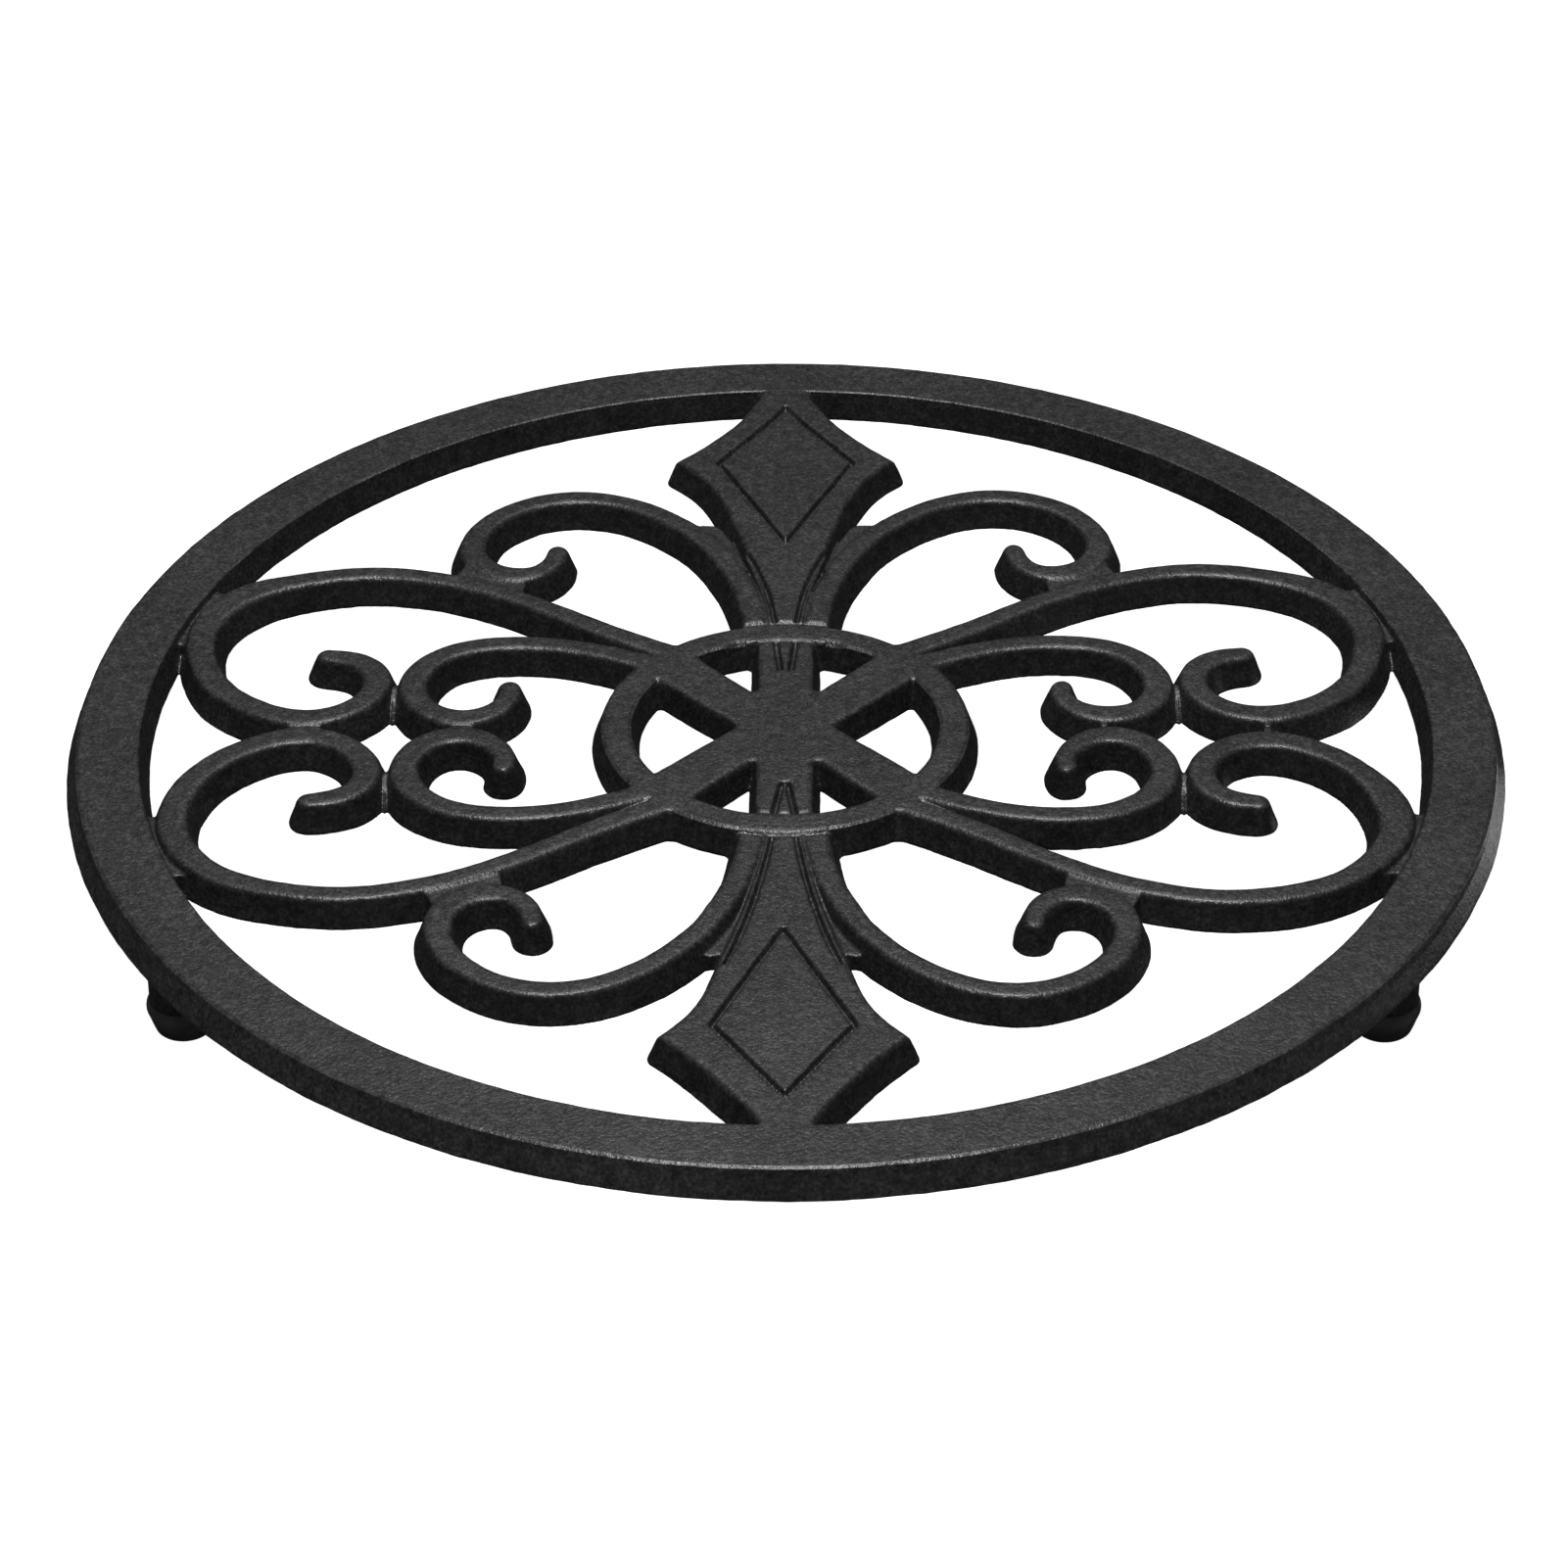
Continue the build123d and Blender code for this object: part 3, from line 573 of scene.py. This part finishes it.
def piece(name, mesh, material):
    """Visible piece that stands for the part of the same name and rides with it."""
    p, q = mesh
    me = bpy.data.meshes.new("look_" + name)
    if isinstance(q, list):
        me.from_pydata([tuple(v) for v in p * 0.001], [], q)
        me.polygons.foreach_set("use_smooth", np.ones(len(q), bool))
    else:
        me.vertices.add(len(p))
        me.vertices.foreach_set("co", (p * 0.001).astype(np.float32).ravel())
        me.loops.add(4 * len(q))
        me.loops.foreach_set("vertex_index", q.astype(np.int32).ravel())
        me.polygons.add(len(q))
        me.polygons.foreach_set("loop_start", np.arange(0, 4 * len(q), 4, dtype=np.int32))
        me.polygons.foreach_set("use_smooth", np.ones(len(q), bool))
    me.update(calc_edges=True)
    me.validate()
    me.materials.append(material)
    ob = bpy.data.objects.new("look_" + name, me)
    bpy.context.scene.collection.objects.link(ob)
    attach(ob, "root")
    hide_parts(name)
    return ob


# ---------------------------------------------------------------- materials
def material(name):
    mat = bpy.data.materials.new(name)
    mat.use_nodes = True
    return mat, mat.node_tree, mat.node_tree.nodes["Principled BSDF"]


def add(tree, kind, **values):
    node = tree.nodes.new(kind)
    for key, value in values.items():
        setattr(node, key, value)
    return node


def noise(tree, where, scale, detail, rough=0.5):
    node = add(tree, "ShaderNodeTexNoise")
    tree.links.new(where, node.inputs["Vector"])
    node.inputs["Scale"].default_value = scale
    node.inputs["Detail"].default_value = detail
    node.inputs["Roughness"].default_value = rough
    return node.outputs["Fac"]


def ramp(tree, value, stops):
    node = add(tree, "ShaderNodeValToRGB")
    tree.links.new(value, node.inputs["Fac"])
    while len(node.color_ramp.elements) < len(stops):
        node.color_ramp.elements.new(0.5)
    for element, (at, c) in zip(node.color_ramp.elements, stops):
        element.position = at
        element.color = (c[0], c[1], c[2], 1) if isinstance(c, tuple) else (c, c, c, 1)
    return node.outputs["Color"]


def maths(tree, operation, a, b):
    node = add(tree, "ShaderNodeMath", operation=operation)
    for socket, value in zip(node.inputs, (a, b)):
        if isinstance(value, (int, float)):
            socket.default_value = value
        else:
            tree.links.new(value, socket)
    return node.outputs[0]


def bump(tree, height, strength, distance, normal=None):
    node = add(tree, "ShaderNodeBump")
    tree.links.new(height, node.inputs["Height"])
    node.inputs["Strength"].default_value = strength
    node.inputs["Distance"].default_value = distance
    if normal:
        tree.links.new(normal, node.inputs["Normal"])
    return node.outputs["Normal"]


def iron_material():
    """Black, fine-grained satin coating on cast iron, with painted shade on its steep walls."""
    mat, tree, bsdf = material("black_iron")
    where = add(tree, "ShaderNodeTexCoord").outputs["Object"]
    grain = noise(tree, where, 2100, 2, 0.6)
    lumps = noise(tree, where, 620, 3, 0.55)
    cloud = noise(tree, where, 90, 3, 0.5)
    tone = maths(tree, "ADD", maths(tree, "MULTIPLY", grain, 0.55),
                 maths(tree, "ADD", maths(tree, "MULTIPLY", lumps, 0.3), maths(tree, "MULTIPLY", cloud, 0.15)))
    colour = ramp(tree, tone, [(0.34, (0.008, 0.008, 0.008)), (0.5, (0.032, 0.032, 0.032)), (0.66, (0.080, 0.080, 0.080))])
    # painted shade: the base colour is darkened on walls by how steeply they face, standing in for the overhead light
    # they catch less of
    facing = add(tree, "ShaderNodeSeparateXYZ")
    tree.links.new(add(tree, "ShaderNodeNewGeometry").outputs["Normal"], facing.inputs[0])
    painted_wall_shade = ramp(tree, facing.outputs["Z"], [(0.55, 0.52), (0.85, 1.0)])
    # painted shade multiplied into the coating's colour
    mix = add(tree, "ShaderNodeMix", data_type="RGBA", blend_type="MULTIPLY")
    mix.inputs["Factor"].default_value = 1.0
    tree.links.new(colour, mix.inputs["A"])
    tree.links.new(painted_wall_shade, mix.inputs["B"])
    tree.links.new(mix.outputs["Result"], bsdf.inputs["Base Color"])
    rough = ramp(tree, tone, [(0.32, 0.40), (0.68, 0.27)])
    tree.links.new(rough, bsdf.inputs["Roughness"])
    first = bump(tree, lumps, 0.5, 0.00012)
    tree.links.new(bump(tree, grain, 0.8, 0.00013, first), bsdf.inputs["Normal"])
    return mat


def rubber_material():
    """Smooth black rubber with a faint mould texture."""
    mat, tree, bsdf = material("rubber")
    where = add(tree, "ShaderNodeTexCoord").outputs["Object"]
    fine = noise(tree, where, 1500, 2)
    cloud = noise(tree, where, 260, 2)
    colour = ramp(tree, cloud, [(0.35, (0.055, 0.055, 0.056)), (0.65, (0.085, 0.085, 0.086))])
    tree.links.new(colour, bsdf.inputs["Base Color"])
    tree.links.new(ramp(tree, cloud, [(0.3, 0.46), (0.7, 0.36)]), bsdf.inputs["Roughness"])
    tree.links.new(bump(tree, fine, 0.2, 0.00003), bsdf.inputs["Normal"])
    return mat


IRON, RUBBER = iron_material(), rubber_material()

# ---------------------------------------------------------------- the pieces
quarter = {"rear_right": (1, 1), "rear_left": (-1, 1), "front_right": (1, -1), "front_left": (-1, -1)}
flank = {1: FLANK_REAR, -1: FLANK_FRONT}
large = {fx: make_large(0.22, fx) for fx in (1, -1)}
wear = {1: 0.2, -1: 1.5}
side = {fy: make_side(0.2, flank[fy], wear[fy]) for fy in (1, -1)}
for place, (fx, fy) in quarter.items():
    piece("large_scroll_" + place, cast(mirrored(large[fx], fx, fy)), IRON)
    piece("inner_scroll_" + place, cast(mirrored(make_inner(0.2, fx, fy), fx, fy)), IRON)
    piece("side_scroll_" + place, cast(mirrored(side[fy], fx, fy)), IRON)
piece("spear_rear", cast(make_spear(0.21, FLANK_REAR, DIAMOND_REAR, BORDER_REAR, wear[1])), IRON)
piece("spear_front", cast(mirrored(make_spear(0.21, FLANK_FRONT, DIAMOND_FRONT, BORDER_FRONT, wear[-1]), 1, -1)), IRON)
piece("hub_cross", cast(make_cross(0.23)), IRON)
piece("outer_ring", cast(lathe(ring_profile(RING, UNDER, 0.62, (1.3, 0.2), 0.1), 1140)), IRON)
piece("hub_ring", cast(worn_hub(lathe(ring_profile(HUB, DEEP, 0.3, (1.3, HUB[1]), BEVEL), 540))), IRON)
for place, radius, angle in (("left", 92.8, 211), ("right", 92.6, 328.3), ("rear", 92.2, 90)):
    at = (radius * math.cos(math.radians(angle)), radius * math.sin(math.radians(angle)))
    piece("leg_" + place, turned(LEG, 96, at), IRON)
    piece("rubber_foot_" + place, turned(FOOT_CAP, 96, at), RUBBER)

# ---------------------------------------------------------------- camera, at the photo's view
cam_data = bpy.data.cameras.new("camera")
cam_data.sensor_fit = "HORIZONTAL"
cam_data.sensor_width = 36.0
cam_data.lens = 119.2057
cam_data.clip_start = 0.01
cam_data.clip_end = 100.0
cam = bpy.data.objects.new("camera", cam_data)
bpy.context.scene.collection.objects.link(cam)
right = Vector((0.99999692, -0.00113682, -0.00220496))
up = Vector((0.00245845, 0.57308701, 0.81949084))
back = Vector((0.00033203, -0.81949374, 0.57308804))
back = (back + right * (1.49 / 5301.3) - up * (-1.82 / 5301.3)).normalized()
right = up.cross(back).normalized()
up = back.cross(right)
cam.matrix_world = Matrix((
    (right.x, up.x, back.x, 0.00018439),
    (right.y, up.y, back.y, -0.59277303),
    (right.z, up.z, back.z, 0.42009108),
    (0, 0, 0, 1)))
bpy.context.scene.camera = cam

# ---------------------------------------------------------------- floor
fmat, ftree, fb = material("pale_floor")
fb.inputs["Base Color"].default_value = (0.5, 0.5, 0.5, 1)
fb.inputs["Roughness"].default_value = 0.9
fb.inputs["Emission Color"].default_value = (1, 1, 1, 1)
fb.inputs["Emission Strength"].default_value = 1.0
circle = [(0.112 * math.cos(k * math.pi / 48), 0.112 * math.sin(k * math.pi / 48), 0) for k in range(96)]
square = [(4 * v[0] / max(abs(v[0]), abs(v[1])), 4 * v[1] / max(abs(v[0]), abs(v[1])), 0) for v in circle]
around = [(k, 96 + k, 96 + (k + 1) % 96, (k + 1) % 96) for k in range(96)]
for name, points, faces, bounce, mirror in (("floor", circle + square, around[2:95], True, False),
                                            ("floor_right", circle + square, around[95:] + around[:2], True, True),
                                            ("floor_below", circle, [tuple(range(96))], False, False)):
    me = bpy.data.meshes.new(name)
    me.from_pydata(points, [], faces)
    me.materials.append(fmat)
    floor = bpy.data.objects.new(name, me)
    bpy.context.scene.collection.objects.link(floor)
    floor.visible_diffuse = bounce
    floor.visible_glossy = mirror


# ---------------------------------------------------------------- light
def area(name, loc, target, size, size_y, power):
    d = bpy.data.lights.new(name, "AREA")
    d.shape = "RECTANGLE"
    d.size, d.size_y = size, size_y
    d.energy = power
    o = bpy.data.objects.new(name, d)
    bpy.context.scene.collection.objects.link(o)
    o.location = loc
    o.rotation_euler = (Vector(target) - Vector(loc)).to_track_quat("-Z", "Y").to_euler()
    return o


area("overhead", (0, -0.14, 1.0), (0, -0.14, 0), 0.2, 0.32, 8.2)
area("behind", (0, 0.46, 1.0), (0, 0, 0), 0.26, 0.36, 2.1)
world = bpy.data.worlds.new("studio")
bpy.context.scene.world = world
world.use_nodes = True
world.node_tree.nodes["Background"].inputs["Color"].default_value = (1, 1, 1, 1)
world.node_tree.nodes["Background"].inputs["Strength"].default_value = 0.02

bpy.context.scene.view_settings.view_transform = "Standard"
bpy.context.scene.view_settings.look = "None"
